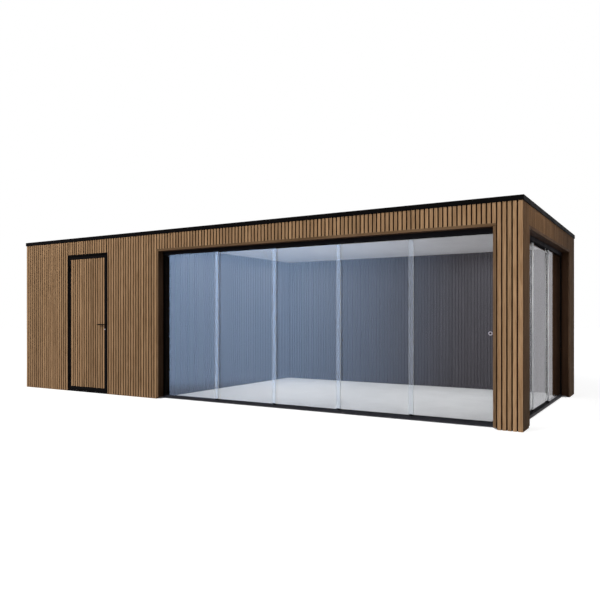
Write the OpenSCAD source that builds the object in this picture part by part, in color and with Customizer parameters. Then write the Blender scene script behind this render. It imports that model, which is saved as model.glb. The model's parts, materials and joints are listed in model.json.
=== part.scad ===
// Garden office pod: a flat-roofed timber-clad box with a store behind a batten
// door and a glazed room behind sliding glass walls on the front and right side.
// X runs to the right along the front, Y runs to the back, Z is up.
// The origin is on the ground, under the middle of the pod.

/* [Overall] */
// Length of the pod over its cladding, along X
pod_length = 8300; // [7600:10:9600]
// Depth of the pod over its cladding, along Y
pod_depth = 3820; // [3400:10:4600]
// Height from the ground to the top of the roof edge
pod_height = 2500; // [2480:10:2800]

/* [Walls and floor] */
// Thickness of the batten cladding with its backing
cladding_t = 45; // [38:1:60]
// Thickness of the insulated wall cores
core_t = 170; // [140:5:200]
// Thickness of the slatted lining inside the glazed room
lining_t = 38; // [28:1:45]
// Thickness of the partition core between store and glazed room
partition_t = 120; // [90:5:150]
// Thickness of the floor slab
floor_t = 20; // [15:1:40]
// Open joint between neighbouring boards and panels
joint = 1; // [0.5:0.5:3]

/* [Battens] */
// Usual spacing of the battens, fitted to whole battens on each wall
batten_pitch = 54; // [45:0.5:70]
// Open gap between battens
batten_gap = 15; // [8:0.5:20]
// Width of the battens at the corners of the front and back
corner_batten = 50; // [40:1:70]
// Thickness of the backing behind the battens outside
backing_t = 18; // [12:1:24]
// Thickness of the backing behind the slats inside
slat_back = 14; // [8:1:20]
// Thickness of the backing behind the battens of the door
door_back = 8; // [5:0.5:12]
// A batten cut narrower than this at the edge of a panel is left out
least_batten = 8; // [5:0.5:12]

/* [Roof] */
// Thickness of the roof from the top of the ceiling board to the roof edge
roof_t = 199; // [150:1:210]
// Thickness of the ceiling board
ceiling_t = 18; // [12:1:25]
// Thickness of the roof membrane
membrane_t = 4; // [2:1:8]
// Height of the face of the roof edge trim
trim_h = 55; // [40:1:80]
// Distance that the trim stands out from the cladding
trim_out = 10; // [6:1:20]
// Thickness of the trim's flange on the roof edge
flange_t = 3; // [2:1:6]
// Width of the trim's flange on the roof
flange_w = 90; // [60:5:150]
// Size of the drip groove under the trim
drip = 3; // [1:0.5:4]

/* [Openings] */
// Width of the corner post on the front
post_w = 311; // [280:1:400]
// Width of the corner post on the right side
post_d = 354; // [310:1:450]
// Length of the store, from the left end of the pod to the glazed opening
store_w = 3104; // [2800:2:3400]
// Width of the clad return at the back of the right side
return_w = 510; // [420:5:700]
// Drop from the roof edge to the soffit of both openings
soffit_drop = 310; // [300:5:420]
// Thickness of the boards that line the openings
reveal_t = 33; // [22:1:40]

/* [Rails] */
// Width of one groove in the rails
groove_w = 22; // [21:1:26]
// Thickness of the lips between the grooves
lip_t = 3; // [2:0.5:4]
// Thickness of the flat back of the rails
rail_back = 3; // [2:0.5:4]
// Distance from the face of the cladding to the rails
rail_recess = 110; // [95:1:115]
// Height of the top rail below the soffit
top_rail_h = 52; // [45:1:70]
// Height of the bottom rail above the floor
bottom_rail_h = 18; // [14:1:22]
// Thickness of the bars at the ends of the rails
jamb_t = 6; // [4:1:8]

/* [Panes] */
// Thickness of the glass panes
pane_t = 8; // [6:1:10]
// Overlap of neighbouring panes
pane_overlap = 65; // [40:1:90]
// Gap between the end bar and the panes where they stack
stack_gap = 5; // [5:0.5:10]
// Gap between the end bar and the last pane where it closes
closing_gap = 14; // [8:1:20]
// Gap between the top of the panes and the back of the top rail
pane_top_gap = 10; // [6:1:20]
// Width of the carriers under the panes
carrier_w = 12; // [11:0.5:12]
// Height of the top of the carriers above the floor
carrier_h = 30; // [26:1:40]
// Height of the underside of the carriers above the rail
carrier_lift = 5; // [3:0.5:6]
// Thickness of the carriers under the glass
carrier_base = 4; // [3:0.5:6]
// Length of the cap on each end of a carrier
cap_len = 40; // [25:1:60]
// Height of the caps above the carrier
cap_rise = 6; // [3:1:12]
// Radius of the rollers
roller_r = 8; // [7:0.5:9]
// Width of the rollers
roller_w = 6; // [4:0.5:8]
// Distance of the rollers from the ends of a carrier
roller_in = 110; // [80:5:200]
// Running gap between the rollers and the rail
run_gap = 0.3; // [0.2:0.1:0.5]

/* [Pane pull] */
// Radius of the flanges of the pull
pull_r = 23; // [20:0.5:30]
// Height of the middle of the pull above the floor
pull_z = 1010; // [900:5:1150]
// Distance of the middle of the pull from the closing edge of its pane
pull_in = 62; // [50:1:90]
// Distance that the flanges stand out from the glass
pull_out = 3; // [2:0.5:5]
// Width of the flanges on the glass
pull_seat = 4; // [3:0.5:6]

/* [Store door] */
// Width of the door frame over all
door_w = 915; // [850:5:1000]
// Drop from the roof edge to the top of the door frame
door_drop = 285; // [280:5:420]
// Thickness of the lip of the door frame
frame_lip = 10; // [8:1:14]
// Depth of the door frame
frame_d = 106; // [100:1:130]
// Setback of the door frame from the face of the cladding
frame_set = 4; // [2:0.5:10]
// Overlap of the frame's stop behind the leaf
stop_lap = 8; // [6:1:12]
// Gap between the leaf and the stop
stop_gap = 10; // [6:1:12]
// Gap round the door leaf
door_gap = 8; // [7:0.5:10]
// Setback of the leaf from the face of the cladding
leaf_set = 5; // [3:0.5:10]
// Thickness of the door leaf
leaf_t = 50; // [44:1:55]
// Width of the stiles round the batten field
stile_w = 46; // [42:1:60]
// Depth of the recess for the batten field
field_d = 30; // [24:1:36]
// Setback of the batten field from the stiles
field_set = 2; // [0:0.5:6]

/* [Door furniture] */
// Radius of the hinge knuckles
hinge_r = 8; // [7:0.5:10]
// Radius of the hinge pins
pin_r = 5; // [3:0.5:5]
// Running clearance of the hinge pins
pin_clear = 0.08; // [0.05:0.01:0.1]
// Length of one hinge knuckle
knuckle_h = 34; // [25:1:45]
// Gap between hinge knuckles
knuckle_gap = 0.5; // [0.3:0.1:1]
// Distance of the hinge axis in front of the cladding
hinge_out = 6; // [5:0.5:8]
// Reach of the hinge plates onto the leaf
hinge_plate = 24; // [18:1:40]
// Distance of the outer hinges from the ends of the frame
hinge_in = 210; // [150:5:300]
// Height of the lever above the ground
lever_z = 1094; // [950:1:1150]
// Length of the lever from the axis of its spindle
lever_len = 128; // [110:1:140]
// Height of the lever's bar
lever_h = 18; // [14:1:22]
// Thickness of the lever's bar
lever_t = 12; // [10:0.5:16]
// Distance between the lever's bar and the leaf
lever_clear = 46; // [40:1:55]
// Radius of the lever's spindle
spindle_r = 7; // [6:0.5:8]
// Running clearance of the spindle
spindle_clear = 0.05; // [0.02:0.01:0.1]
// Radius of the round roses
rose_r = 14; // [12:0.5:16]
// Thickness of the outer roses
rose_t = 8; // [5:0.5:10]
// Thickness of the inner roses
inner_rose_t = 5; // [3:0.5:5]
// Drop from the lever's axis to the lock cylinder
lock_drop = 75; // [70:1:92]
// Radius of the lock cylinder
lock_r = 8.5; // [7:0.5:10]

/* [Hidden] */
$fn = 48;
front_n = 5;
side_n = 3;
// A cut runs this far past the face that it opens
past = 1;
// Faces of the cladding
xl = -pod_length / 2;
xr = pod_length / 2;
yf = -pod_depth / 2;
yb = pod_depth / 2;
// Outer and inner faces of the wall cores
xlo = xl + cladding_t;
xro = xr - cladding_t;
yfo = yf + cladding_t;
ybo = yb - cladding_t;
xli = xlo + core_t;
xri = xro - core_t;
yfi = yfo + core_t;
ybi = ybo - core_t;
// Starts of the gaps between battens, in whole steps from the first gap to the last
function gap_row(first, last) =
    let (n = round((last - first) / batten_pitch))
    [for (k = [0 : n]) first + k * (last - first) / n];
front_gaps = gap_row(xl + corner_batten, xr - corner_batten - batten_gap);
side_gaps = gap_row(yfo, ybo - batten_gap);
// Levels
ceiling_top = pod_height - roof_t;
ceiling_z = ceiling_top - ceiling_t;
clad_top = pod_height - flange_t;
deck_top = clad_top - membrane_t;
soffit_z = pod_height - soffit_drop;
head_z = soffit_z + reveal_t;
door_top = pod_height - door_drop;
// Edges of the openings
ox1 = xl + store_w;
ox2 = xr - post_w;
front_open_w = ox2 - ox1;
oy1 = yf + post_d;
oy2 = yb - return_w;
side_open_w = oy2 - oy1;
// Rails and panes
track = groove_w + lip_t;
front_rail_d = front_n * track + lip_t;
side_rail_d = side_n * track + lip_t;
fy = yf + rail_recess;
sx = xr - rail_recess;
beam_in = rail_recess + front_rail_d;
rail_z = floor_t + rail_back;
carrier_z = rail_z + carrier_lift;
glass_z = carrier_z + carrier_base;
glass_top = soffit_z - rail_back - pane_top_gap;
stack_in = jamb_t + stack_gap;
closing_in = jamb_t + closing_gap;
front_pane_w = (front_open_w - stack_in - closing_in + (front_n - 1) * pane_overlap) / front_n;
side_pane_w = (side_open_w - stack_in - closing_in + (side_n - 1) * pane_overlap) / side_n;
front_step = front_pane_w - pane_overlap;
side_step = side_pane_w - pane_overlap;
pull_x = ox2 - closing_in - pull_in;
// Door
dx0 = (xl + ox1 - door_w) / 2;
dx1 = dx0 + door_w;
frame_y0 = yf + frame_set;
frame_y1 = frame_y0 + frame_d;
leaf_y0 = yf + leaf_set;
leaf_y1 = leaf_y0 + leaf_t;
stop_y0 = leaf_y1 + stop_gap;
leaf_in = frame_lip + door_gap;
leaf_x0 = dx0 + leaf_in;
leaf_x1 = dx1 - leaf_in;
leaf_z0 = floor_t + leaf_in;
leaf_z1 = door_top - leaf_in;
stop_in = leaf_in + stop_lap;
hinge_x = dx0 + frame_lip + door_gap / 2;
hinge_y = yf - hinge_out;
hinge_zs = [floor_t + hinge_in, (floor_t + door_top) / 2, door_top - hinge_in];
lever_x = leaf_x1 - stile_w / 2;
lock_z = lever_z - lock_drop;
// Colours
wood = [0.56, 0.44, 0.33];
black = [0.07, 0.07, 0.08];
core = [0.78, 0.74, 0.66];
dark = [0.2, 0.21, 0.23];
pale = [0.8, 0.8, 0.82];
glass = [0.6, 0.68, 0.75, 0.4];
steel = [0.75, 0.75, 0.77];

// A board or panel between two corners
module slab(x0, x1, y0, y1, z0, z1) {
    translate([x0, y0, z0])
        cube([x1 - x0, y1 - y0, z1 - z0]);
}

// A round bar along Y
module bar_y(x, y0, y1, z, r) {
    translate([x, y0, z])
        rotate([-90, 0, 0])
            cylinder(r = r, h = y1 - y0);
}

// Extrudes a section along +X: the section's first axis turns to +Y, its second to +Z
module along_x(len) {
    rotate([90, 0, 90])
        linear_extrude(height = len)
            children();
}

// Extrudes a section along +Y: the section's first axis turns to -X, its second to +Z
module along_y(len) {
    rotate([90, 0, 180])
        linear_extrude(height = len)
            children();
}

// Extrudes an outline drawn in X and Z from y0 to y1
module upright(y0, y1) {
    translate([0, y1, 0])
        rotate([90, 0, 0])
            linear_extrude(height = y1 - y0)
                children();
}

// Plan of a panel of battens from a to b: its face is on the first axis, its back at depth,
// and the gaps run in from the face as far as cut
module batten_plan(a, b, depth, cut, gaps) {
    difference() {
        translate([a, 0])
            square([b - a, depth]);
        for (g = gaps)
            if (g + batten_gap > a + joint && g < b - joint) {
                lo = g - a < least_batten ? a - past : g;
                hi = b - g - batten_gap < least_batten ? b + past : g + batten_gap;
                translate([lo, -past])
                    square([hi - lo, cut + past]);
            }
    }
}

// An outside panel of battens from z0 to the top of the cladding, its face turned to the front
module clad_panel(a, b, z0, gaps) {
    translate([0, 0, z0])
        linear_extrude(height = clad_top - z0)
            batten_plan(a, b, cladding_t, cladding_t - backing_t, gaps);
}

// An inside panel of slats from floor to ceiling, a slat along each edge, its face turned to the front
module slat_panel(a, b) {
    translate([0, 0, floor_t])
        linear_extrude(height = ceiling_z - floor_t)
            batten_plan(a, b, lining_t, lining_t - slat_back, gap_row(a - batten_gap, b));
}

module floor_slab() {
    color(pale)
        linear_extrude(height = floor_t)
            difference() {
                union() {
                    translate([xlo, yfo])
                        square([xro - xlo, ybo - yfo]);
                    translate([dx0, frame_y0])
                        square([door_w, frame_d]);
                }
                translate([ox1, yf])
                    square([front_open_w, rail_recess]);
                translate([sx, oy1])
                    square([rail_recess, side_open_w]);
            }
}

module back_wall() {
    color(core)
        slab(xlo, xro, ybi, ybo, floor_t, ceiling_top);
}

module left_wall() {
    color(core)
        slab(xlo, xli, yfi, ybi, floor_t, ceiling_top);
}

module front_wall_left() {
    color(core)
        slab(xlo, dx0, yfo, yfi, floor_t, ceiling_top);
}

module front_wall_right() {
    color(core)
        slab(dx1, ox1 - reveal_t, yfo, yfi, floor_t, ceiling_top);
}

module front_wall_head() {
    color(core)
        slab(dx0, dx1, yfo, yfi, door_top, ceiling_top);
}

module partition_wall() {
    color(core)
        slab(ox1 - partition_t, ox1, yfi, ybi, floor_t, ceiling_top);
}

// The beam is notched round the end of the partition
module front_beam() {
    color(core)
        difference() {
            slab(ox1 - reveal_t, ox2 + reveal_t, yfo, yf + beam_in, head_z, ceiling_top);
            slab(ox1 - partition_t, ox1, yfi, yf + beam_in + past, head_z - past, ceiling_top + past);
        }
}

module side_beam() {
    color(core)
        slab(xr - beam_in, xro, oy1 - reveal_t, oy2 + reveal_t, head_z, ceiling_top);
}

module front_corner_post() {
    color(core)
        slab(ox2 + reveal_t, xro, yfo, oy1 - reveal_t, floor_t, ceiling_top);
}

module rear_corner_post() {
    color(core)
        slab(xri, xro, oy2 + reveal_t, ybi, floor_t, ceiling_top);
}

module roof_deck() {
    color(core)
        slab(xlo, xro, yfo, ybo, ceiling_top, deck_top);
}

module roof_membrane() {
    color(black)
        slab(xlo, xro, yfo, ybo, deck_top, clad_top);
}

// One board over each room: the one over the glazed room goes round the corner post
// and runs on to the wall behind the side opening
module ceiling() {
    color(pale)
        translate([0, 0, ceiling_z])
            linear_extrude(height = ceiling_t) {
                difference() {
                    union() {
                        translate([ox1, yf + beam_in])
                            square([xr - beam_in - ox1, ybi - yf - beam_in]);
                        translate([ox1, oy2 + reveal_t])
                            square([xri - ox1, ybi - oy2 - reveal_t]);
                    }
                    translate([ox2 + reveal_t, yf])
                        square([post_w, post_d - reveal_t]);
                }
                translate([xli, yfi])
                    square([ox1 - partition_t - xli, ybi - yfi]);
            }
}

// Section of the roof edge trim: a face with a drip groove and a flange on the roof
module trim_section() {
    difference() {
        union() {
            translate([0, -trim_h])
                square([trim_out, trim_h]);
            translate([0, -flange_t])
                square([trim_out + flange_w, flange_t]);
        }
        translate([(trim_out - drip) / 2, -trim_h - past])
            square([drip, drip + past]);
    }
}

// One mitred length of trim, its top outer edge on the X axis about the origin
module trim_length(len) {
    reach = trim_out + flange_w;
    half = len / 2 - joint;
    intersection() {
        translate([-len / 2, 0, 0])
            along_x(len)
                trim_section();
        translate([0, 0, -trim_h - past])
            linear_extrude(height = trim_h + 2 * past)
                polygon([[-half, 0], [half, 0], [half - reach, reach], [reach - half, reach]]);
    }
}

module roof_edge_trim() {
    long = pod_length + 2 * trim_out;
    short = pod_depth + 2 * trim_out;
    color(black)
        translate([0, 0, pod_height]) {
            for (a = [0, 180])
                rotate([0, 0, a])
                    translate([0, -short / 2, 0])
                        trim_length(long);
            for (a = [90, 270])
                rotate([0, 0, a])
                    translate([0, -long / 2, 0])
                        trim_length(short);
        }
}

// Panels of vertical battens, split beside and over the openings
module front_cladding() {
    color(wood)
        translate([0, yf, 0]) {
            clad_panel(xl, dx0, 0, front_gaps);
            clad_panel(dx0 + joint, dx1 - joint, door_top, front_gaps);
            clad_panel(dx1, ox1 - reveal_t - joint, 0, front_gaps);
            clad_panel(ox1 - reveal_t, ox2 + reveal_t - joint, head_z, front_gaps);
            clad_panel(ox2 + reveal_t, xr, 0, front_gaps);
        }
}

module right_cladding() {
    color(wood)
        translate([xr, 0, 0])
            rotate([0, 0, 90]) {
                clad_panel(yfo, oy1 - reveal_t - joint, 0, side_gaps);
                clad_panel(oy1 - reveal_t, oy2 + reveal_t, head_z, side_gaps);
                clad_panel(oy2 + reveal_t + joint, ybo, 0, side_gaps);
            }
}

module back_cladding() {
    color(wood)
        translate([0, yb, 0])
            mirror([0, 1, 0])
                clad_panel(xl, xr, 0, front_gaps);
}

module left_cladding() {
    color(wood)
        translate([xl, 0, 0])
            mirror([1, 0, 0])
                rotate([0, 0, 90])
                    clad_panel(yfo, ybo, 0, side_gaps);
}

module back_lining() {
    color(dark)
        translate([0, ybi - lining_t, 0])
            slat_panel(ox1, xri);
}

module partition_lining() {
    color(dark)
        translate([ox1 + lining_t, 0, 0])
            rotate([0, 0, 90])
                slat_panel(yf + beam_in, ybi - lining_t);
}

// Boards that line the front opening: head, left and right
module front_reveal() {
    color(wood) {
        slab(ox1 - reveal_t, ox2 + reveal_t, yf, yfi, soffit_z, head_z);
        slab(ox1 - reveal_t, ox1, yf, yfi, floor_t, soffit_z - joint);
        slab(ox2, ox2 + reveal_t, yf, oy1 - reveal_t - joint, floor_t, soffit_z - joint);
    }
}

// Boards that line the side opening: head, front and back
module side_reveal() {
    color(wood) {
        slab(xri, xr, oy1 - reveal_t, oy2 + reveal_t, soffit_z, head_z);
        slab(ox2, xr, oy1 - reveal_t, oy1, floor_t, soffit_z - joint);
        slab(xri, xr, oy2, oy2 + reveal_t, floor_t, soffit_z - joint);
    }
}

// Section of a rail: a flat back with lips between n grooves, open at the top
module rail_section(n, h) {
    difference() {
        square([n * track + lip_t, h]);
        for (i = [0 : n - 1])
            translate([lip_t + i * track, rail_back])
                square([groove_w, h]);
    }
}

module top_rails() {
    color(black) {
        translate([ox1, fy, soffit_z])
            along_x(front_open_w)
                mirror([0, 1])
                    rail_section(front_n, top_rail_h);
        translate([sx, oy1, soffit_z])
            along_y(side_open_w)
                mirror([0, 1])
                    rail_section(side_n, top_rail_h);
    }
}

module bottom_rails() {
    color(black) {
        translate([ox1, fy, floor_t])
            along_x(front_open_w)
                rail_section(front_n, bottom_rail_h);
        translate([sx, oy1, floor_t])
            along_y(side_open_w)
                rail_section(side_n, bottom_rail_h);
    }
}

// Flat bars at both ends of each pair of rails
module rail_jambs() {
    z0 = floor_t + bottom_rail_h;
    z1 = soffit_z - top_rail_h;
    color(black) {
        for (x = [ox1, ox2 - jamb_t])
            slab(x, x + jamb_t, fy, fy + front_rail_d, z0, z1);
        for (y = [oy1, oy2 - jamb_t])
            slab(sx - side_rail_d, sx, y, y + jamb_t, z0, z1);
    }
}

// Middle of groove i, counted from the outermost
function groove_mid(i) = lip_t + groove_w / 2 + (i - 1) * track;
// Left end of front pane i, counted from the left
function front_pane_x(i) = ox1 + stack_in + (i - 1) * front_step;
// Front end of side pane i, counted from the back
function side_pane_y(i) = oy2 - stack_in - side_pane_w - (i - 1) * side_step;

// Front pane i runs in groove i, so the left-hand pane is outermost
module front_pane(i) {
    y = fy + groove_mid(i);
    color(glass)
        difference() {
            slab(front_pane_x(i), front_pane_x(i) + front_pane_w, y - pane_t / 2, y + pane_t / 2,
                glass_z, glass_top);
            if (i == front_n)
                bar_y(pull_x, y - pane_t, y + pane_t, floor_t + pull_z, pull_r - pull_seat);
        }
}

// Side pane i runs in groove i, so the rear pane is outermost
module side_pane(i) {
    x = sx - groove_mid(i);
    color(glass)
        slab(x - pane_t / 2, x + pane_t / 2, side_pane_y(i), side_pane_y(i) + side_pane_w,
            glass_z, glass_top);
}

// Section of a carrier: a channel that holds the glass, its underside on the first axis
module carrier_section(h) {
    difference() {
        translate([-carrier_w / 2, 0])
            square([carrier_w, h]);
        translate([-pane_t / 2, carrier_base])
            square([pane_t, h]);
    }
}

// A carrier along +X with two rollers and a taller cap on each end
module carrier(len) {
    h = floor_t + carrier_h - carrier_z;
    color(black) {
        translate([0, 0, carrier_z]) {
            along_x(len)
                carrier_section(h);
            for (x = [0, len - cap_len])
                translate([x, 0, 0])
                    along_x(cap_len)
                        carrier_section(h + cap_rise);
        }
        intersection() {
            for (x = [roller_in, len - roller_in])
                bar_y(x, -roller_w / 2, roller_w / 2, rail_z + run_gap + roller_r, roller_r);
            slab(0, len, -carrier_w, carrier_w, rail_z, glass_z);
        }
    }
}

module front_carrier(i) {
    translate([front_pane_x(i), fy + groove_mid(i), 0])
        carrier(front_pane_w);
}

module side_carrier(i) {
    translate([sx - groove_mid(i), side_pane_y(i), 0])
        rotate([0, 0, 90])
            carrier(side_pane_w);
}

// Half of the section of the pull: a flanged bush with a dished web across its middle
module pull_section() {
    half = pane_t / 2;
    rim = half + pull_out;
    neck_r = pull_r - pull_seat - run_gap;
    dish_r = neck_r - pull_seat;
    web = half / 3;
    polygon([
        [0, -web], [dish_r - pull_out, -web], [dish_r, -rim], [pull_r - 1, -rim],
        [pull_r, 1 - rim], [pull_r, -half], [neck_r, -half], [neck_r, half],
        [pull_r, half], [pull_r, rim - 1], [pull_r - 1, rim], [dish_r, rim],
        [dish_r - pull_out, web], [0, web]
    ]);
}

module pane_pull() {
    color(steel)
        translate([pull_x, fy + groove_mid(front_n), floor_t + pull_z])
            rotate([90, 0, 0])
                rotate_extrude()
                    pull_section();
}

// A rectangular ring in X and Z, inset from the outside of the door frame
module door_ring(inset0, inset1) {
    difference() {
        translate([dx0 + inset0, floor_t + inset0])
            square([door_w - 2 * inset0, door_top - floor_t - 2 * inset0]);
        translate([dx0 + inset1, floor_t + inset1])
            square([door_w - 2 * inset1, door_top - floor_t - 2 * inset1]);
    }
}

// The plan of one mitred side of the door frame, len long, outer edge on the first axis
module mitre(len) {
    polygon([[joint, 0], [len - joint, 0], [len - joint - stop_in, stop_in], [joint + stop_in, stop_in]]);
}

// Four mitred lengths of a rebated section: a lip round the leaf and a stop behind it
module door_frame() {
    high = door_top - floor_t;
    color(black)
        for (side = [
            [dx0, floor_t, 0, door_w],
            [dx1, floor_t, 90, high],
            [dx1, door_top, 180, door_w],
            [dx0, door_top, 270, high]
        ])
            intersection() {
                union() {
                    upright(frame_y0, frame_y1)
                        door_ring(0, frame_lip);
                    upright(stop_y0, frame_y1)
                        door_ring(frame_lip, stop_in);
                }
                upright(frame_y0, frame_y1)
                    translate([side[0], side[1]])
                        rotate(side[2])
                            mitre(side[3]);
            }
}

module door_leaf() {
    color(black)
        difference() {
            slab(leaf_x0, leaf_x1, leaf_y0, leaf_y1, leaf_z0, leaf_z1);
            slab(leaf_x0 + stile_w, leaf_x1 - stile_w, leaf_y0 - past, leaf_y0 + field_d,
                leaf_z0 + stile_w, leaf_z1 - stile_w);
            bar_y(lever_x, leaf_y0 - past, leaf_y1 + past, lever_z, spindle_r + spindle_clear);
            bar_y(lever_x, leaf_y0 - past, leaf_y1 + past, lock_z, lock_r + spindle_clear);
        }
}

// The batten field of the door, a batten along each stile
module door_cladding() {
    x0 = leaf_x0 + stile_w;
    x1 = leaf_x1 - stile_w;
    z0 = leaf_z0 + stile_w;
    depth = field_d - field_set;
    color(wood)
        translate([0, leaf_y0 + field_set, z0])
            linear_extrude(height = leaf_z1 - stile_w - z0)
                batten_plan(x0, x1, depth, depth - door_back, gap_row(x0 - batten_gap, x1));
}

// Fixed halves: two knuckles with the pin between them and their plates on the frame
module hinge_pins() {
    h = knuckle_h - knuckle_gap;
    color(black)
        for (z = hinge_zs) {
            translate([hinge_x, hinge_y, z - knuckle_h * 1.5])
                cylinder(r = pin_r, h = knuckle_h * 3);
            for (z0 = [z - knuckle_h * 1.5, z + knuckle_h / 2 + knuckle_gap]) {
                translate([hinge_x, hinge_y, z0])
                    cylinder(r = hinge_r, h = h);
                slab(dx0, hinge_x, hinge_y + pin_r, frame_y0, z0, z0 + h);
            }
        }
}

// Moving halves: one knuckle with its plate on the leaf
module hinge_knuckles() {
    color(black)
        for (z = hinge_zs)
            translate([0, 0, z - knuckle_h / 2])
                difference() {
                    union() {
                        translate([hinge_x, hinge_y, 0])
                            cylinder(r = hinge_r, h = knuckle_h);
                        slab(hinge_x, leaf_x0 + hinge_plate, hinge_y + pin_r, leaf_y0, 0, knuckle_h);
                    }
                    translate([hinge_x, hinge_y, -past])
                        cylinder(r = pin_r + pin_clear, h = knuckle_h + 2 * past);
                }
}

// A round rose with a hole through it
module rose(y0, y1, z, hole_r) {
    difference() {
        bar_y(lever_x, y0, y1, z, rose_r);
        bar_y(lever_x, y0 - past, y1 + past, z, hole_r);
    }
}

// Roses on both faces of the leaf, for the lever and for the lock
module door_roses() {
    color(black) {
        rose(leaf_y0 - rose_t, leaf_y0, lever_z, spindle_r + spindle_clear);
        rose(leaf_y1, leaf_y1 + inner_rose_t, lever_z, spindle_r + spindle_clear);
        rose(leaf_y0 - rose_t, leaf_y0, lock_z, lock_r + spindle_clear);
        rose(leaf_y1, leaf_y1 + inner_rose_t, lock_z, lock_r + spindle_clear);
    }
}

// A cylinder through the leaf with a rim on the outer rose and a keyway
module lock_cylinder() {
    rim_r = lock_r + 1.5;
    rim_y = leaf_y0 - rose_t;
    rim_t = 3;
    key_w = lock_r / 3.5;
    color(steel)
        difference() {
            union() {
                bar_y(lever_x, rim_y, leaf_y1 + inner_rose_t, lock_z, lock_r);
                bar_y(lever_x, rim_y - rim_t, rim_y, lock_z, rim_r);
            }
            slab(lever_x - key_w / 2, lever_x + key_w / 2, rim_y - rim_t - past, rim_y + rim_t,
                lock_z - lock_r / 2, lock_z + lock_r / 2);
        }
}

// Outline of the lever in X and Z: a straight bar with round ends, about its axis
module lever_outline() {
    translate([lever_h / 2 - lever_len, -lever_h / 2])
        square([lever_len - lever_h / 2, lever_h]);
    circle(r = lever_h / 2);
    translate([lever_h / 2 - lever_len, 0])
        circle(r = lever_h / 2);
}

// A straight lever on each side of one spindle
module door_lever() {
    out_y = leaf_y0 - lever_clear;
    in_y = leaf_y1 + lever_clear;
    color(black) {
        bar_y(lever_x, out_y, in_y, lever_z, spindle_r);
        for (y = [out_y - lever_t, in_y])
            upright(y, y + lever_t)
                translate([lever_x, lever_z])
                    lever_outline();
    }
}

floor_slab();
back_wall();
left_wall();
front_wall_left();
front_wall_right();
front_wall_head();
partition_wall();
front_beam();
side_beam();
front_corner_post();
rear_corner_post();
roof_deck();
roof_membrane();
ceiling();
roof_edge_trim();
front_cladding();
right_cladding();
back_cladding();
left_cladding();
back_lining();
partition_lining();
front_reveal();
side_reveal();
top_rails();
bottom_rails();
rail_jambs();
front_pane(1);  // front_pane_1
front_pane(2);  // front_pane_2
front_pane(3);  // front_pane_3
front_pane(4);  // front_pane_4
front_pane(5);  // front_pane_5
front_carrier(1);  // front_carrier_1
front_carrier(2);  // front_carrier_2
front_carrier(3);  // front_carrier_3
front_carrier(4);  // front_carrier_4
front_carrier(5);  // front_carrier_5
side_pane(1);  // side_pane_1
side_pane(2);  // side_pane_2
side_pane(3);  // side_pane_3
side_carrier(1);  // side_carrier_1
side_carrier(2);  // side_carrier_2
side_carrier(3);  // side_carrier_3
pane_pull();
door_frame();
door_leaf();
door_cladding();
hinge_pins();
hinge_knuckles();
door_roses();
lock_cylinder();
door_lever();
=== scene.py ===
import json
import math
import random

import bmesh
import bpy
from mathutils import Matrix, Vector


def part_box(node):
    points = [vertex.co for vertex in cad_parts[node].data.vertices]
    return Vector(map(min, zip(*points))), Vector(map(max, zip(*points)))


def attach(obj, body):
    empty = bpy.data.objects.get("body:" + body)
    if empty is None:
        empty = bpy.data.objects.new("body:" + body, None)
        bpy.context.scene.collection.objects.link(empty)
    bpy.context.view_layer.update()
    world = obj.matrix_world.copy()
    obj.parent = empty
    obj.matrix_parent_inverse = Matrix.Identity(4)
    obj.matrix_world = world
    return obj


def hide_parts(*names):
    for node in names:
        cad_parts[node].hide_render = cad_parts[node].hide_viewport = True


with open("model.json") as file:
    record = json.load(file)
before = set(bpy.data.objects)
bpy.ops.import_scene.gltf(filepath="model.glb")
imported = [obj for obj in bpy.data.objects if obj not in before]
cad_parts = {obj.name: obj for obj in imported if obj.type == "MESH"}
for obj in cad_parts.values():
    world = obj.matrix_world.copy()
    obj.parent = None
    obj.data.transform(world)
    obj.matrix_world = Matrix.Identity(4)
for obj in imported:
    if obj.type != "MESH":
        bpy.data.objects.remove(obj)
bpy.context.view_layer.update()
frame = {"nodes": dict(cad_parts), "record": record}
nodes = frame["nodes"]

X, Y, Z = range(3)

# Batten cladding, in metres: spacing, gap, corner board and the backings behind battens and slats
PITCH = 0.054
GAP = 0.015
CORNER = 0.050
BACKING = 0.018
SLAT_BACK = 0.014
DOOR_BACK = 0.008

# Open joint between pieces, narrowest batten that is kept, boards that line the openings
JOINT = 0.001
LEAST = 0.008
REVEAL_T = 0.033

# Edge radius of a batten, its largest share of a board's width or depth,
# and how far the wear reaches from a board's edges and ends
ROUND = 0.0025
ROUND_SHARE = 0.3
WEAR = 0.003
END_WEAR = 0.007

# Edge radii of thin sheets, opening boards, slats, strips and plates
SHEET_R = 0.0005
REVEAL_R = 0.0015
SLAT_R = 0.002
STRIP_R = 0.0004
PLATE_R = 0.0002

# Tone of boards that are all alike
PLAIN = 0.5


# Meshes

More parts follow.
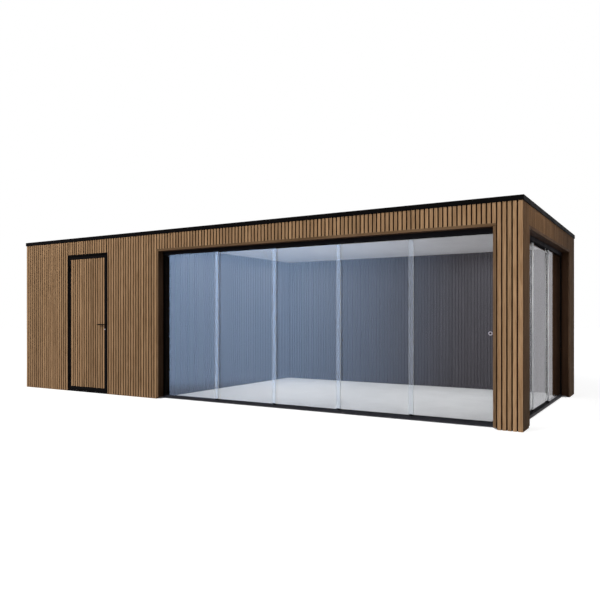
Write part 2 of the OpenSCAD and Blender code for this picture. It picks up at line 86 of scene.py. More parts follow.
class Boards:
    """Collects bevelled boards into one mesh, with grain, tone, edge and depth attributes."""

    def __init__(self, name, seed):
        self.name = name
        self.rng = random.Random(seed)
        self.bm = bmesh.new()
        self.grain = self.bm.verts.layers.float_vector.new("grain")
        self.tone = self.bm.verts.layers.float.new("tone")
        self.edge = self.bm.verts.layers.float.new("edge")
        self.depth = self.bm.verts.layers.float.new("depth")

    def section(self, width, depth, r):
        """A rectangle with rounded corners, as (p, q, wear), with unworn points just inside each corner."""
        points = []
        centres = ((width - r, depth - r), (r, depth - r), (r, r), (width - r, r))
        for k in range(4):
            cp, cq = centres[k]
            dp, dq = centres[(k + 1) % 4]
            for j in range(3):
                t = math.radians(90 * k + 45 * j)
                points.append((cp + r * math.cos(t), cq + r * math.sin(t), 1.0))
            t = math.radians(90 * (k + 1))
            e = (cp + r * math.cos(t), cq + r * math.sin(t))
            s = (dp + r * math.cos(t), dq + r * math.sin(t))
            run = math.dist(e, s)
            if run > 2.5 * WEAR:
                for f in (WEAR / run, 1 - WEAR / run):
                    points.append((e[0] + (s[0] - e[0]) * f, e[1] + (s[1] - e[1]) * f, 0.0))
        return points

    def add(self, lo, hi, axis, r=ROUND, material=0, tone=None, face=None):
        """One board from corner lo to corner hi whose grain runs along the given axis.

        face is (axis, coordinate) of the side that shows: depth runs from 0 there to 1 at the back.
        """
        a, b = [k for k in range(3) if k != axis]
        width, depth, length = hi[a] - lo[a], hi[b] - lo[b], hi[axis] - lo[axis]
        r = min(r, ROUND_SHARE * width, ROUND_SHARE * depth)
        shift = [self.rng.uniform(0, 40) for _ in range(3)]
        drawn = self.rng.gauss(0.5, 0.2)
        shade = min(1.0, max(0.0, drawn)) if tone is None else tone
        points = self.section(width, depth, r)
        steps = [(0.0, 1.0), (length, 1.0)]
        if length > 3 * END_WEAR:
            steps = [(0.0, 1.0), (END_WEAR, 0.0), (length - END_WEAR, 0.0), (length, 1.0)]
        rings = []
        for along, worn in steps:
            ring = []
            for p, q, corner in points:
                co = [0.0, 0.0, 0.0]
                co[a], co[b], co[axis] = lo[a] + p, lo[b] + q, lo[axis] + along
                v = self.bm.verts.new(co)
                v[self.grain] = (p + shift[0], q + shift[1], along + shift[2])
                v[self.tone] = shade
                v[self.edge] = max(worn, corner)
                if face:
                    v[self.depth] = abs(co[face[0]] - face[1]) / (hi[face[0]] - lo[face[0]])
                ring.append(v)
            rings.append(ring)
        made = [self.bm.faces.new(rings[0]), self.bm.faces.new(rings[-1])]
        n = len(points)
        for one, two in zip(rings, rings[1:]):
            for k in range(n):
                made.append(self.bm.faces.new((one[k], one[(k + 1) % n], two[(k + 1) % n], two[k])))
        for f in made:
            f.material_index = material

    def finish(self, body, slot, materials, *replaced):
        """Makes the piece, on its body and in place of the given nodes. The slot is not used."""
        bmesh.ops.recalc_face_normals(self.bm, faces=self.bm.faces)
        mesh = bpy.data.meshes.new(self.name)
        self.bm.to_mesh(mesh)
        self.bm.free()
        for m in materials:
            mesh.materials.append(m)
        piece = bpy.data.objects.new(self.name, mesh)
        bpy.context.scene.collection.objects.link(piece)
        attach(piece, body)
        if replaced:
            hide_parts(*replaced)
        return piece


def gap_row(first, last):
    """Starts of the gaps between battens, in whole steps from the first gap to the last."""
    n = round((last - first) / PITCH)
    return [first + k * (last - first) / n for k in range(n + 1)]


def battens(start, end, gaps):
    """Battens of a panel from start to end, left between the gaps."""
    out = []
    a = start
    for g in gaps:
        if g + GAP > start + JOINT and g < end - JOINT:
            out.append((a, g))
            a = g + GAP
    out.append((a, end))
    return [(p, q) for p, q in out if q - p > LEAST]


# Shader helpers

class NodeTree:
    """Short calls to add and link nodes."""

    def __init__(self, tree):
        self.nt = tree

    def node(self, kind, **settings):
        n = self.nt.nodes.new(kind)
        for key, value in settings.items():
            setattr(n, key, value)
        return n

    def link(self, a, b):
        self.nt.links.new(a, b)

    def coords(self, scale, attribute=None):
        """Object coordinates, or a named attribute, stretched by scale."""
        if attribute:
            source = self.node("ShaderNodeAttribute", attribute_name=attribute).outputs["Vector"]
        else:
            source = self.node("ShaderNodeTexCoord").outputs["Object"]
        m = self.node("ShaderNodeMapping")
        m.inputs["Scale"].default_value = scale
        self.link(source, m.inputs["Vector"])
        return m.outputs["Vector"]

    def attribute(self, name):
        return self.node("ShaderNodeAttribute", attribute_name=name).outputs["Fac"]

    def noise(self, vector, scale, detail=4.0, rough=0.55, distortion=0.0):
        n = self.node("ShaderNodeTexNoise")
        n.inputs["Scale"].default_value = scale
        n.inputs["Detail"].default_value = detail
        n.inputs["Roughness"].default_value = rough
        n.inputs["Distortion"].default_value = distortion
        self.link(vector, n.inputs["Vector"])
        return n.outputs["Fac"]

    def ramp(self, fac, *stops):
        n = self.node("ShaderNodeValToRGB")
        els = n.color_ramp.elements
        while len(els) < len(stops):
            els.new(0.5)
        for e, (pos, col) in zip(els, stops):
            e.position = pos
            e.color = (*col, 1.0)
        self.link(fac, n.inputs["Fac"])
        return n.outputs["Color"]

    def span(self, fac, lo, hi, to_lo, to_hi, smooth=True):
        n = self.node("ShaderNodeMapRange")
        n.interpolation_type = "SMOOTHSTEP" if smooth else "LINEAR"
        for key, value in (("From Min", lo), ("From Max", hi), ("To Min", to_lo), ("To Max", to_hi)):
            n.inputs[key].default_value = value
        self.link(fac, n.inputs["Value"])
        return n.outputs["Result"]

    def math(self, op, a, b):
        n = self.node("ShaderNodeMath", operation=op)
        for k, value in enumerate((a, b)):
            if isinstance(value, (int, float)):
                n.inputs[k].default_value = value
            else:
                self.link(value, n.inputs[k])
        return n.outputs["Value"]

    def weigh(self, a, share_a, b, share_b):
        """The sum of two values, each times its share."""
        return self.math("ADD", self.math("MULTIPLY", a, share_a), self.math("MULTIPLY", b, share_b))

    def mix(self, fac, a, b, blend="MIX"):
        n = self.node("ShaderNodeMix", data_type="RGBA", blend_type=blend)
        for socket, value in ((n.inputs["Factor"], fac), (n.inputs[6], a), (n.inputs[7], b)):
            if isinstance(value, tuple):
                socket.default_value = (*value, 1.0)
            elif isinstance(value, (int, float)):
                socket.default_value = value
            else:
                self.link(value, socket)
        return n.outputs[2]

    def bump(self, height, distance, strength):
        n = self.node("ShaderNodeBump")
        n.inputs["Distance"].default_value = distance
        n.inputs["Strength"].default_value = strength
        self.link(height, n.inputs["Height"])
        return n.outputs["Normal"]


class Shader(NodeTree):
    """A material with one Principled shader."""

    def __init__(self, name):
        self.mat = bpy.data.materials.new(name)
        self.mat.use_nodes = True
        super().__init__(self.mat.node_tree)
        self.bsdf = self.nt.nodes["Principled BSDF"]

    def done(self, colour=None, rough=None, normal=None, **constants):
        for key, value in (("Base Color", colour), ("Roughness", rough), ("Normal", normal)):
            if value is not None:
                self.link(value, self.bsdf.inputs[key])
        for key, value in constants.items():
            self.bsdf.inputs[key.replace("_", " ")].default_value = value
        return self.mat


def timber(name, dark, light, grey, shade):
    """Oiled softwood: growth rings and pores along the board, its own tone for each board, pale worn edges.

    shade is (start, end, amount): painted shade, how the board darkens with depth behind the side that
    shows.
    """
    s = Shader(name)
    broad = s.noise(s.coords((1, 1, 0.03), "grain"), 24, 3, 0.5, 0.5)
    rings = s.math("FRACT", s.math("MULTIPLY", broad, 7.0), 0.0)
    rings = s.math("ABSOLUTE", s.math("SUBTRACT", rings, 0.5), 0.0)
    fibre = s.noise(s.coords((1, 1, 0.02), "grain"), 420, 5, 0.6)
    patch = s.noise(s.coords((1, 1, 0.5), "grain"), 2.2, 2)
    figure = s.weigh(rings, 0.5, fibre, 0.8)
    colour = s.ramp(figure, (0.26, dark), (0.74, light))
    tone = s.attribute("tone")
    level = s.math("ADD", s.span(tone, 0, 1, 0.74, 1.2, False), s.span(patch, 0.3, 0.7, -0.1, 0.1))
    flat = s.node("ShaderNodeCombineColor")
    for k in range(3):
        s.link(level, flat.inputs[k])
    colour = s.mix(1.0, colour, flat.outputs["Color"], "MULTIPLY")
    colour = s.mix(s.span(patch, 0.45, 0.8, 0.0, 0.2), colour, grey)
    edge = s.attribute("edge")
    chip = s.noise(s.coords((1, 1, 0.06), "grain"), 160, 4)
    worn = s.math("MULTIPLY", s.span(edge, 0.3, 1.0, 0, 1), s.span(chip, 0.42, 0.62, 0, 0.3))
    colour = s.mix(worn, colour, tuple(min(1.0, 1.25 * c) for c in light))
    # Painted shade: the board darkens towards DEEP_SHADE with depth behind its face, for the shade in gaps
    # and recesses.
    depth = s.attribute("depth")
    start, end, amount = shade
    colour = s.mix(s.span(depth, start, end, 0.0, amount), colour, DEEP_SHADE)
    rough = s.span(figure, 0.2, 0.9, 0.72, 0.5, False)
    normal = s.bump(figure, 0.0012, 0.5)
    return s.done(colour, rough, normal, Specular_IOR_Level=0.08)


def painted_timber(name, low, high):
    """Dark stained slats and boards: the grain shows faintly through the stain; the colours given may also
    hold painted shade or painted light.
    """
    s = Shader(name)
    fibre = s.noise(s.coords((1, 1, 0.025), "grain"), 300, 5, 0.6)
    broad = s.noise(s.coords((1, 1, 0.06), "grain"), 30, 3)
    figure = s.weigh(fibre, 0.6, broad, 0.4)
    tone = s.attribute("tone")
    figure = s.math("ADD", figure, s.span(tone, 0, 1, -0.12, 0.12, False))
    colour = s.ramp(figure, (0.3, low), (0.7, high))
    edge = s.attribute("edge")
    colour = s.mix(s.math("MULTIPLY", edge, 0.25), colour, tuple(1.8 * c for c in high))
    rough = s.span(figure, 0.3, 0.7, 0.7, 0.5)
    return s.done(colour, rough, s.bump(broad, 0.0005, 0.2), Specular_IOR_Level=0.1)


def powder_coat(name, low, high, gloss):
    """Black powder-coated aluminium: a fine orange-peel skin, a little dust and a slight sheen."""
    s = Shader(name)
    peel = s.noise(s.coords((1, 1, 1)), 1100, 2, 0.5)
    dust = s.noise(s.coords((1, 1, 1)), 5, 5, 0.65)
    fine = s.noise(s.coords((1, 1, 1)), 240, 3)
    colour = s.ramp(s.weigh(dust, 0.7, fine, 0.3), (0.35, low), (0.7, high))
    rough = s.span(dust, 0.3, 0.75, 0.42, 0.62)
    return s.done(colour, rough, s.bump(peel, 0.0003, 0.25), Specular_IOR_Level=gloss)


def rubber(name):
    """Roof membrane: matt rubber sheet with faint clouding and a fine grain."""
    s = Shader(name)
    cloud = s.noise(s.coords((1, 1, 1)), 1.6, 6, 0.62)
    grit = s.noise(s.coords((1, 1, 1)), 700, 3)
    mottle = s.weigh(cloud, 0.8, grit, 0.2)
    colour = s.ramp(mottle, (0.35, (0.016, 0.016, 0.017)), (0.68, (0.05, 0.05, 0.052)))
    rough = s.span(cloud, 0.3, 0.7, 0.68, 0.9)
    return s.done(colour, rough, s.bump(grit, 0.0006, 0.5), Specular_IOR_Level=0.3)


def plaster(name, low, high, rough_lo, rough_hi, scale=3.0):
    """Pale board: slight mottling and a fine roller texture."""
    s = Shader(name)
    cloud = s.noise(s.coords((1, 1, 1)), scale, 5, 0.6)
    stipple = s.noise(s.coords((1, 1, 1)), 380, 3)
    colour = s.ramp(s.weigh(cloud, 0.75, stipple, 0.25), (0.35, low), (0.68, high))
    rough = s.span(cloud, 0.3, 0.7, rough_lo, rough_hi)
    return s.done(colour, rough, s.bump(stipple, 0.0004, 0.3), Specular_IOR_Level=0.25)


def brushed(name):
    """Satin stainless steel with fine turned lines."""
    s = Shader(name)
    lines = s.noise(s.coords((1, 30, 1)), 500, 3)
    colour = s.ramp(lines, (0.3, (0.5, 0.5, 0.51)), (0.7, (0.72, 0.72, 0.73)))
    rough = s.span(lines, 0.3, 0.7, 0.22, 0.38)
    return s.done(colour, rough, s.bump(lines, 0.0002, 0.2), Metallic=1.0)


def clear_glass(name):
    """Toughened glass, faintly cool, with a trace of smears."""
    s = Shader(name)
    smear = s.noise(s.coords((1, 1, 0.4)), 3.5, 4, 0.6)
    colour = s.ramp(smear, (0.3, (0.93, 0.955, 0.96)), (0.7, (0.955, 0.97, 0.975)))
    return s.done(colour, Roughness=0.0, Transmission_Weight=1.0, IOR=1.45)


def clear_strip(name):
    """Clear polycarbonate profile, slightly milky and a little cloudy along its length."""
    s = Shader(name)
    cloud = s.noise(s.coords((1, 1, 0.2)), 6, 2)
    colour = s.ramp(cloud, (0.3, (0.92, 0.94, 0.97)), (0.7, (0.95, 0.97, 0.99)))
    return s.done(colour, Roughness=0.0, Transmission_Weight=0.94, IOR=1.19)


def milky_seal(name):
    """Milky plastic seal, slightly uneven along its length."""
    s = Shader(name)
    cloud = s.noise(s.coords((1, 1, 0.2)), 9, 3)
    colour = s.ramp(cloud, (0.3, (0.8, 0.82, 0.84)), (0.7, (0.88, 0.9, 0.92)))
    rough = s.span(cloud, 0.3, 0.7, 0.3, 0.45)
    return s.done(colour, rough, Specular_IOR_Level=0.3)


# Painted shade: the near-black colour that boards darken to with depth in the gaps and recesses.
DEEP_SHADE = (0.018, 0.005, 0.0008)
WOOD_COLOURS = ((0.222, 0.124, 0.059), (0.47, 0.294, 0.163), (0.27, 0.178, 0.112))
# Painted shade: the opening boards are the battens' timber in darker colours, for the shade inside the
# openings.
SHADED_REVEAL_COLOURS = ((0.1, 0.056, 0.027), (0.23, 0.142, 0.08), (0.13, 0.09, 0.06))
# The battens take painted shade almost to DEEP_SHADE on their flanks in the gaps.
WOOD = timber("oiled_timber", *WOOD_COLOURS, (0.0, 0.16, 0.97))
# The reveal boards also darken with depth close behind their edge, as painted shade; the side opening's
# boards more deeply.
SHADED_REVEAL = timber("reveal_painted_shade", *SHADED_REVEAL_COLOURS, (0.0, 0.06, 0.62))
SHADED_SIDE_REVEAL = timber("side_reveal_painted_shade", *SHADED_REVEAL_COLOURS, (0.0, 0.06, 0.86))
# A dark backing board behind the battens; its near-black colour is partly its own and partly painted shade
# for the gaps.
SHADED_BACK = painted_timber("backing_board_painted_shade", (0.015, 0.005, 0.001), (0.03, 0.01, 0.003))
SLAT = painted_timber("dark_slat", (0.035, 0.0345, 0.0395), (0.051, 0.0503, 0.0575))
# Painted light: the board behind the slats is lighter than the slats, to offset the shade in the gaps
# between them.
LIT_SLAT_GAP = painted_timber("slat_backing_painted_light", (0.055, 0.0543, 0.0625), (0.08, 0.079, 0.09))
BLACK = powder_coat("black_powder_coat", (0.0022, 0.002, 0.0019), (0.0055, 0.0051, 0.005), 0.03)
# Painted light: a lighter copy of the black powder coat for the rails, carriers and sills, whose faces sit
# in shade.
RAIL_PAINTED_LIGHT = powder_coat("rail_powder_coat_painted_light", (0.014, 0.0148, 0.018), (0.026, 0.0275, 0.033), 0.2)
HEAD_RAIL = powder_coat("head_rail_powder_coat", (0.008, 0.0079, 0.0092), (0.016, 0.0158, 0.0184), 0.06)
RUBBER = rubber("roof_rubber")
FLOOR = plaster("floor_finish", (0.66, 0.665, 0.675), (0.75, 0.755, 0.765), 0.45, 0.6)
CEILING = plaster("ceiling_finish", (0.7, 0.7, 0.71), (0.78, 0.78, 0.79), 0.6, 0.8)
CORE = plaster("panel_core", (0.5, 0.47, 0.42), (0.6, 0.57, 0.51), 0.6, 0.8, 1.2)
STEEL = brushed("satin_steel")
GLASS = clear_glass("clear_glass")
STRIP = clear_strip("clear_strip")
SEAL = milky_seal("milky_seal")

# Finishes of the CAD nodes that stay
finish_of = {
    "timber": WOOD, "panel_core": CORE, "pale_board": FLOOR, "dark_lining": SLAT,
    "roof_rubber": RUBBER, "black_metal": BLACK, "glass": GLASS, "steel": STEEL,
}
for sub in frame["record"]["subparts"]:
    obj = nodes[sub["node"]]
    obj.data.materials.clear()
    obj.data.materials.append(finish_of[sub["material_slot"]])
nodes["ceiling"].data.materials[0] = CEILING
for name, obj in nodes.items():
    if "_pane_" in name:
        obj.visible_diffuse = False
    if "_carrier_" in name or name == "bottom_rails":
        obj.data.materials[0] = RAIL_PAINTED_LIGHT
nodes["top_rails"].data.materials[0] = HEAD_RAIL

# Places taken from the CAD
(xl, yf, z0), (xr, _, z1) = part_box("front_cladding")
(_, ybo, _), (_, yb, _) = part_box("back_cladding")
(_, yfo, _), (xlo, _, _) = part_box("left_cladding")
(xro, _, _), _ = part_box("right_cladding")
(ox1, _, _), (ox2, yfi, head_z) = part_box("front_reveal")
(xri, oy1, _), (_, oy2, _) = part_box("side_reveal")
(dx0, _, floor_z), (dx1, _, door_z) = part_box("door_frame")
front_gaps = gap_row(xl + CORNER, xr - CORNER - GAP)
side_gaps = gap_row(yfo, ybo - GAP)

# Batten cladding
panel = Boards("battens_front", 11)
for a, b, low in ((xl, dx0, z0), (dx0 + JOINT, dx1 - JOINT, door_z), (dx1, ox1 - JOINT, z0),
                  (ox1, ox2 - JOINT, head_z), (ox2, xr, z0)):
    panel.add((a, yfo - BACKING, low), (b, yfo, z1), Z, SHEET_R, 1, PLAIN)
    for p, q in battens(a, b, front_gaps):
        corner = p == xl or q == xr
        inner = yfo if corner else yfo - BACKING
        panel.add((p, yf, low), (q, inner, z1), Z, face=None if corner else (Y, yf))
panel.finish("shell", "timber", (WOOD, SHADED_BACK), "front_cladding")

panel = Boards("battens_right", 12)
for a, b, low in ((yfo, oy1 - JOINT, z0), (oy1, oy2, head_z), (oy2 + JOINT, ybo, z0)):
    panel.add((xro, a, low), (xro + BACKING, b, z1), Z, SHEET_R, 1, PLAIN)
    for p, q in battens(a, b, side_gaps):
        panel.add((xro + BACKING, p, low), (xr, q, z1), Z, face=(X, xr))
panel.finish("shell", "timber", (WOOD, SHADED_BACK), "right_cladding")

panel = Boards("battens_back", 13)
panel.add((xl, ybo, z0), (xr, ybo + BACKING, z1), Z, SHEET_R, 1, PLAIN)
for p, q in battens(xl, xr, front_gaps):
    corner = p == xl or q == xr
    inner = ybo if corner else ybo + BACKING
    panel.add((p, inner, z0), (q, yb, z1), Z, face=None if corner else (Y, yb))
panel.finish("shell", "timber", (WOOD, SHADED_BACK), "back_cladding")

panel = Boards("battens_left", 14)
panel.add((xlo - BACKING, yfo, z0), (xlo, ybo, z1), Z, SHEET_R, 1, PLAIN)
for p, q in battens(yfo, ybo, side_gaps):
    panel.add((xl, p, z0), (xlo - BACKING, q, z1), Z, face=(X, xl))
panel.finish("shell", "timber", (WOOD, SHADED_BACK), "left_cladding")

(a, b, c), (d, e, f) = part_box("door_cladding")
panel = Boards("door_battens", 15)
panel.add((a, e - DOOR_BACK, c), (d, e, f), Z, SHEET_R, 1, PLAIN)
for p, q in battens(a, d, gap_row(a - GAP, d)):
    panel.add((p, b, c), (q, e - DOOR_BACK, f), Z, face=(Y, b))
panel.finish("door", "timber", (WOOD, SHADED_BACK), "door_cladding")

# Boards that line the openings, in timber with painted shade
soffit = head_z - REVEAL_T
lining = Boards("front_reveal_boards", 16)
lining.add((ox1, yf, soffit), (ox2, yfi, head_z), X, REVEAL_R, face=(Y, yf))
lining.add((ox1, yf, floor_z), (ox1 + REVEAL_T, yfi, soffit - JOINT), Z, REVEAL_R, face=(Y, yf))
lining.add((ox2 - REVEAL_T, yf, floor_z), (ox2, oy1 - JOINT, soffit - JOINT), Z, REVEAL_R, face=(Y, yf))
lining.finish("shell", "timber", (SHADED_REVEAL,), "front_reveal")
lining = Boards("side_reveal_boards", 17)
lining.add((xri, oy1, soffit), (xr, oy2, head_z), Y, REVEAL_R, face=(X, xr))
lining.add((ox2 - REVEAL_T, oy1, floor_z), (xr, oy1 + REVEAL_T, soffit - JOINT), Z, REVEAL_R, face=(X, xr))
lining.add((xri, oy2 - REVEAL_T, floor_z), (xr, oy2, soffit - JOINT), Z, REVEAL_R, face=(X, xr))
lining.finish("shell", "timber", (SHADED_SIDE_REVEAL,), "side_reveal")

# Dark slats inside the glazed room
(a, b, c), (d, e, f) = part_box("back_lining")
slats = Boards("back_slats", 18)
slats.add((a, e - SLAT_BACK, c), (d, e, f), Z, SHEET_R, 1, PLAIN)
for p, q in battens(a, d, gap_row(a - GAP, d)):
    slats.add((p, b, c), (q, e - SLAT_BACK, f), Z, SLAT_R)
slats.finish("shell", "dark_lining", (SLAT, LIT_SLAT_GAP), "back_lining")
(a, b, c), (d, e, f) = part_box("partition_lining")
slats = Boards("partition_slats", 19)
slats.add((a, b, c), (a + SLAT_BACK, e, f), Z, SHEET_R, 1, PLAIN)
for p, q in battens(b, e, gap_row(b - GAP, e)):
    slats.add((a + SLAT_BACK, p, c), (d, q, f), Z, SLAT_R)
slats.finish("shell", "dark_lining", (SLAT, LIT_SLAT_GAP), "partition_lining")

# Clear strips and milky seals on the overlapping edges of the panes, from the carriers to the top rails
STRIP_W = 0.062
STRIP_T = 0.0014
STRIP_OFF = 0.0003
SEAL_W = 0.008
low_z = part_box("front_carrier_1")[1][Z] + JOINT
high_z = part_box("top_rails")[0][Z] - JOINT


def rider(side, i):
    """The body of pane i of a side: the first pane of each side is fixed."""
    return "shell" if i == 1 else f"{side}_slider_{i}"


def edge_strip(name, pane, body, run, end, reach, seed):
    """A clear strip along an upright edge of a pane, and a milky seal over the edge.

    run is the axis of the pane's width, and end (1 or -1) says which of its edges has the strip.
    reach is how far the seal goes past the pane's outer face, towards the next pane.
    """
    lo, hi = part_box(pane)
    face = 1 - run
    strip = Boards(name, seed)
    a, b = [0, 0, low_z], [0, 0, high_z]
    edge = hi[run] if end > 0 else lo[run]
    a[run], b[run] = sorted((edge - end * STRIP_W, edge))
    near = lo[face] - STRIP_OFF
    a[face], b[face] = near - STRIP_T, near
    strip.add(a, b, Z, STRIP_R, 0, PLAIN)
    lip = edge + end * STRIP_OFF
    a[run], b[run] = sorted((lip, lip + end * STRIP_T))
    a[face], b[face] = lo[face] - reach, hi[face]
    strip.add(a, b, Z, STRIP_R, 1, PLAIN)
    piece = strip.finish(body, "glass", (STRIP, SEAL))
    piece.visible_shadow = False
    piece.visible_diffuse = False


for i in range(1, 5):
    edge_strip(f"front_strip_{i}", f"front_pane_{i}", rider("front", i), X, 1, 0, 30 + i)
for i in range(1, 3):
    edge_strip(f"side_strip_{i}", f"side_pane_{i}", rider("side", i), Y, -1, SEAL_W, 40 + i)

# Dark sills that fold down over the edge of the floor, under the rails and under the door
SILL_DROP = 0.013
SILL_T = 0.0015
(_, rail_y, _), (rail_x, _, _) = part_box("bottom_rails")
sills = Boards("rail_sills", 50)
sill_z = floor_z - SILL_DROP
sills.add((ox1 + REVEAL_T, rail_y - SILL_T, sill_z), (ox2 - REVEAL_T, rail_y, floor_z), X, SHEET_R)
sills.add((rail_x, oy1 + REVEAL_T, sill_z), (rail_x + SILL_T, oy2 - REVEAL_T, floor_z), Y, SHEET_R)
sills.finish("shell", "black_metal", (RAIL_PAINTED_LIGHT,))
(_, door_y, _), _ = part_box("door_frame")
sills = Boards("door_sill", 51)
sills.add((dx0 + JOINT, door_y - SILL_T, JOINT), (dx1 - JOINT, door_y, floor_z), X, SHEET_R)
sills.finish("shell", "black_metal", (BLACK,))

# Black cover strips round the door frame, over the ends of the cladding
TRIM_W = 0.016
trim = Boards("door_trim", 52)
trim.add((dx0 - TRIM_W, yf - SILL_T, door_z), (dx1 + TRIM_W, yf, door_z + TRIM_W), X, SHEET_R)
for a in (dx0 - TRIM_W, dx1):
    trim.add((a, yf - SILL_T, z0), (a + TRIM_W, yf, door_z), Z, SHEET_R)
trim.finish("shell", "black_metal", (BLACK,))

# Black channels on the fixed panes' edges, at the end where the others stack
CHANNEL_W = 0.022


def end_channel(name, pane, run, end, seed):
    """A U-shaped profile along an upright edge of a fixed pane: a web on the edge, a leg on each face."""
    lo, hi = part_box(pane)
    face = 1 - run
    edge = hi[run] if end > 0 else lo[run]
    channel = Boards(name, seed)
    reach = STRIP_OFF + SILL_T
    a, b = [0, 0, low_z], [0, 0, high_z]
    a[run], b[run] = sorted((edge + end * STRIP_OFF, edge + end * reach))
    a[face], b[face] = lo[face] - reach, hi[face] + reach
    channel.add(a, b, Z, STRIP_R)
    for near, way in ((lo[face], -1), (hi[face], 1)):
        a[run], b[run] = sorted((edge + end * STRIP_OFF, edge - end * CHANNEL_W))
        a[face], b[face] = sorted((near + way * STRIP_OFF, near + way * reach))
        channel.add(a, b, Z, STRIP_R)
    channel.finish("shell", "black_metal", (BLACK,))


end_channel("front_end_channel", "front_pane_1", X, -1, 53)
end_channel("side_end_channel", "side_pane_1", Y, 1, 54)

# Darker plates on the caps at both ends of each carrier
CAP_L = 0.040
PLATE_T = 0.0006


def cap_plates(name, carrier, body, run, seed):
    """A thin plate on each side of the two caps of a carrier, above the lips of the rail."""
    lo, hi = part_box(carrier)
    face = 1 - run
    plates = Boards(name, seed)
    for start in (lo[run], hi[run] - CAP_L):
        for near, way in ((lo[face], -1), (hi[face], 1)):
            a, b = list(lo), list(hi)
            a[Z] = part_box("bottom_rails")[1][Z] + JOINT
            a[run], b[run] = start, start + CAP_L
            a[face], b[face] = sorted((near, near + way * PLATE_T))
            plates.add(a, b, run, PLATE_R)
    plates.finish(body, "black_metal", (BLACK,))


for i in range(1, 6):
    cap_plates(f"front_cap_plates_{i}", f"front_carrier_{i}", rider("front", i), X, 60 + i)
for i in range(1, 4):
    cap_plates(f"side_cap_plates_{i}", f"side_carrier_{i}", rider("side", i), Y, 70 + i)

# Black inserts in both dishes of the pull. The profile is (share of the radius, distance from the middle).
INSERT_R = 0.0112
INSERT_SIDES = 48
INSERT_PROFILE = ((0.0, 0.0023), (0.6, 0.0023), (0.92, 0.002), (1.0, 0.0015), (1.0, 0.0014), (0.0, 0.0014))


def pull_inserts():
    """Two turned discs, one on each side of the web of the pull."""
    lo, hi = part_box("pane_pull")
    mid = [(p + q) / 2 for p, q in zip(lo, hi)]
    bm = bmesh.new()
    for way in (-1, 1):
        rings = []
        for share, off in INSERT_PROFILE:
            y = mid[1] + way * off
            if share == 0.0:
                rings.append([bm.verts.new((mid[0], y, mid[2]))] * INSERT_SIDES)
                continue
            ring = []
            for k in range(INSERT_SIDES):
                t = math.tau * k / INSERT_SIDES
                ring.append(bm.verts.new((
                    mid[0] + share * INSERT_R * math.cos(t), y, mid[2] + share * INSERT_R * math.sin(t))))
            rings.append(ring)
        for one, two in zip(rings, rings[1:]):
            for k in range(INSERT_SIDES):
                n = (k + 1) % INSERT_SIDES
                corners = []
                for v in (one[k], one[n], two[n], two[k]):
                    if v not in corners:
                        corners.append(v)
                bm.faces.new(corners)
    bmesh.ops.recalc_face_normals(bm, faces=bm.faces)
    mesh = bpy.data.meshes.new("pull_inserts")
    bm.to_mesh(mesh)
    bm.free()
    mesh.materials.append(BLACK)
    piece = bpy.data.objects.new("pull_inserts", mesh)
    bpy.context.scene.collection.objects.link(piece)
    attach(piece, "front_slider_5")


pull_inserts()

# Stage: white floor and background, soft light
STAGE_R = 60


def stage_floor():
    """A floor that is white for the camera with the object's shadow on it, and plain grey for other rays."""
    bm = bmesh.new()
    bmesh.ops.create_circle(bm, cap_ends=True, segments=96, radius=STAGE_R)
    mesh = bpy.data.meshes.new("studio_floor")
    bm.to_mesh(mesh)
    bm.free()
    obj = bpy.data.objects.new("studio_floor", mesh)
    bpy.context.scene.collection.objects.link(obj)
    mat = bpy.data.materials.new("studio_floor")
    mat.use_nodes = True
    s = NodeTree(mat.node_tree)
    s.nt.nodes.clear()
    plain = s.node("ShaderNodeBsdfDiffuse")
    plain.inputs["Color"].default_value = (0.17, 0.17, 0.17, 1)
    shade = s.node("ShaderNodeBsdfDiffuse")
    shade.inputs["Color"].default_value = (0.32, 0.32, 0.32, 1)
    reach = s.node("ShaderNodeVectorMath", operation="LENGTH")
    s.link(s.node("ShaderNodeTexCoord").outputs["Object"], reach.inputs[0])
    glow = s.node("ShaderNodeEmission")
    s.link(s.span(reach.outputs["Value"], 5.0, 9.0, 0.89, 1.0), glow.inputs["Strength"])
    both = s.node("ShaderNodeAddShader")
    s.link(shade.outputs[0], both.inputs[0])
    s.link(glow.outputs[0], both.inputs[1])
    pick = s.node("ShaderNodeMixShader")
    s.link(s.node("ShaderNodeLightPath").outputs["Is Camera Ray"], pick.inputs[0])
    s.link(plain.outputs[0], pick.inputs[1])
    s.link(both.outputs[0], pick.inputs[2])
    s.link(pick.outputs[0], s.node("ShaderNodeOutputMaterial").inputs["Surface"])
    mesh.materials.append(mat)
    obj.visible_glossy = False
    obj.visible_transmission = False


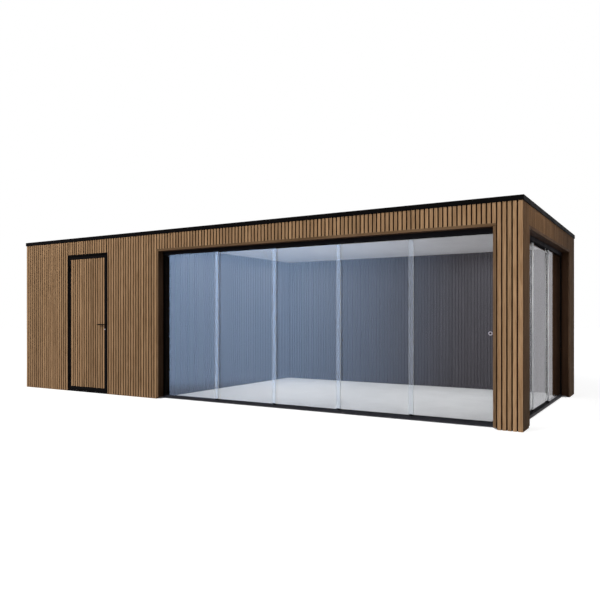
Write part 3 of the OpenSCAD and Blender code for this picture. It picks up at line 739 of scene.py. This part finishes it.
def studio_world():
    """White for the camera, plain soft light for surfaces, a cool bright front left quarter for glass."""
    world = bpy.data.worlds.new("studio")
    bpy.context.scene.world = world
    world.use_nodes = True
    s = NodeTree(world.node_tree)
    background = s.nt.nodes["Background"]
    split = s.node("ShaderNodeSeparateXYZ")
    s.link(s.node("ShaderNodeTexCoord").outputs["Generated"], split.inputs[0])
    path = s.node("ShaderNodeLightPath")
    across = s.span(split.outputs["X"], -0.565, -0.265, 1.0, 0.0)
    ahead = s.span(split.outputs["Y"], -0.35, -0.05, 1.0, 0.0)
    high = s.span(split.outputs["Z"], -0.14, 0.14, 0.66, 1.0, False)
    ground = s.span(split.outputs["Z"], -0.118, -0.095, 0.5, 1.0)
    glow = s.math("MULTIPLY", s.math("MULTIPLY", across, ahead), s.math("MULTIPLY", high, ground))
    glow = s.math("MULTIPLY", glow, path.outputs["Is Singular Ray"])
    behind = s.span(split.outputs["Y"], -0.2, 0.2, 0.0, 1.0)
    leftward = s.span(split.outputs["X"], -0.02, 0.06, 1.0, 0.0)
    through = s.math("MULTIPLY", s.math("MULTIPLY", behind, leftward), path.outputs["Is Transmission Ray"])
    front = s.mix(path.outputs["Is Singular Ray"], (0.78, 0.72, 0.82), (0.44, 0.4, 0.46))
    base = s.mix(behind, front, (0.5, 0.488, 0.51))
    base = s.mix(through, base, (1.0, 1.0, 1.0))
    mirrored = s.mix(glow, base, (2.12, 3.02, 4.62))
    sharp = s.math("MAXIMUM", path.outputs["Is Glossy Ray"], path.outputs["Is Transmission Ray"])
    sky = s.mix(s.span(split.outputs["Z"], -0.1, 0.7, 0.0, 1.0), (0.1, 0.1, 0.105), (0.42, 0.425, 0.44))
    sky = s.mix(s.span(split.outputs["X"], -0.2, 0.4, 0.0, 0.95), sky, (0.02, 0.019, 0.018))
    colour = s.mix(sharp, sky, mirrored)
    colour = s.mix(path.outputs["Is Camera Ray"], colour, (1.0, 1.0, 1.0))
    s.link(colour, background.inputs["Color"])


def lamp(name, place, target, size, power, colour=(1, 1, 1), spread=180):
    """An area lamp aimed at a target. The camera and mirrors don't see it."""
    data = bpy.data.lights.new(name, "AREA")
    data.spread = math.radians(spread)
    data.shape = "RECTANGLE"
    data.size, data.size_y = size
    data.energy = power
    data.color = colour
    obj = bpy.data.objects.new(name, data)
    bpy.context.scene.collection.objects.link(obj)
    obj.location = place
    way = [t - p for t, p in zip(target, place)]
    obj.rotation_euler = (
        math.atan2(math.hypot(way[0], way[1]), -way[2]), 0, math.atan2(-way[0], way[1]))
    obj.visible_camera = False
    obj.visible_glossy = False
    obj.visible_transmission = False


stage_floor()
studio_world()
lamp("key", (-6.0, -20.0, 10.5), (0.0, -1.9, 1.2), (5.5, 5.5), 3430, (1.0, 0.99, 0.97))
lamp("fill", (4.2, -8.5, 1.0), (4.0, -1.9, 0.6), (2.0, 2.0), 11, spread=56)
lamp("side", (6.8, -2.2, 4.6), (4.15, -0.8, 2.5), (1.2, 1.2), 7.4, (1.0, 0.86, 0.7), 64)
lamp("seals", (4.03, -1.5, 1.1), (4.03, 1.0, 1.1), (0.05, 1.9), 1.8)
lamp("room_left", (-0.35, -0.05, 2.2), (-0.35, -0.05, 0.0), (1.0, 3.0), 28.5)
lamp("room_right", (3.2, -0.05, 2.2), (3.2, -0.05, 0.0), (1.0, 3.0), 23.5)
lamp("room_back", (1.4, 0.9, 2.2), (1.4, 1.0, 0.0), (4.6, 0.4), 24)
lamp("room_front", (1.4, -1.4, 2.2), (1.4, 0.4, 0.0), (4.6, 0.4), 26)
lamp("bounce", (2.3, 0.0, 0.15), (2.3, 0.0, 2.2), (3.0, 2.6), 9.5, (1.0, 0.95, 0.97))

# Camera
camera = bpy.data.cameras.new("camera")
camera.lens = 37.28
camera.sensor_width = 36
camera.sensor_fit = "HORIZONTAL"
camera.shift_y = 0.0286
camera.clip_end = 500
eye = bpy.data.objects.new("camera", camera)
bpy.context.scene.collection.objects.link(eye)
eye.location = (5.524, -8.702, 1.211)
eye.rotation_euler = (math.radians(90), 0, math.radians(31.185))
bpy.context.scene.camera = eye
bpy.context.scene.view_settings.view_transform = "Standard"
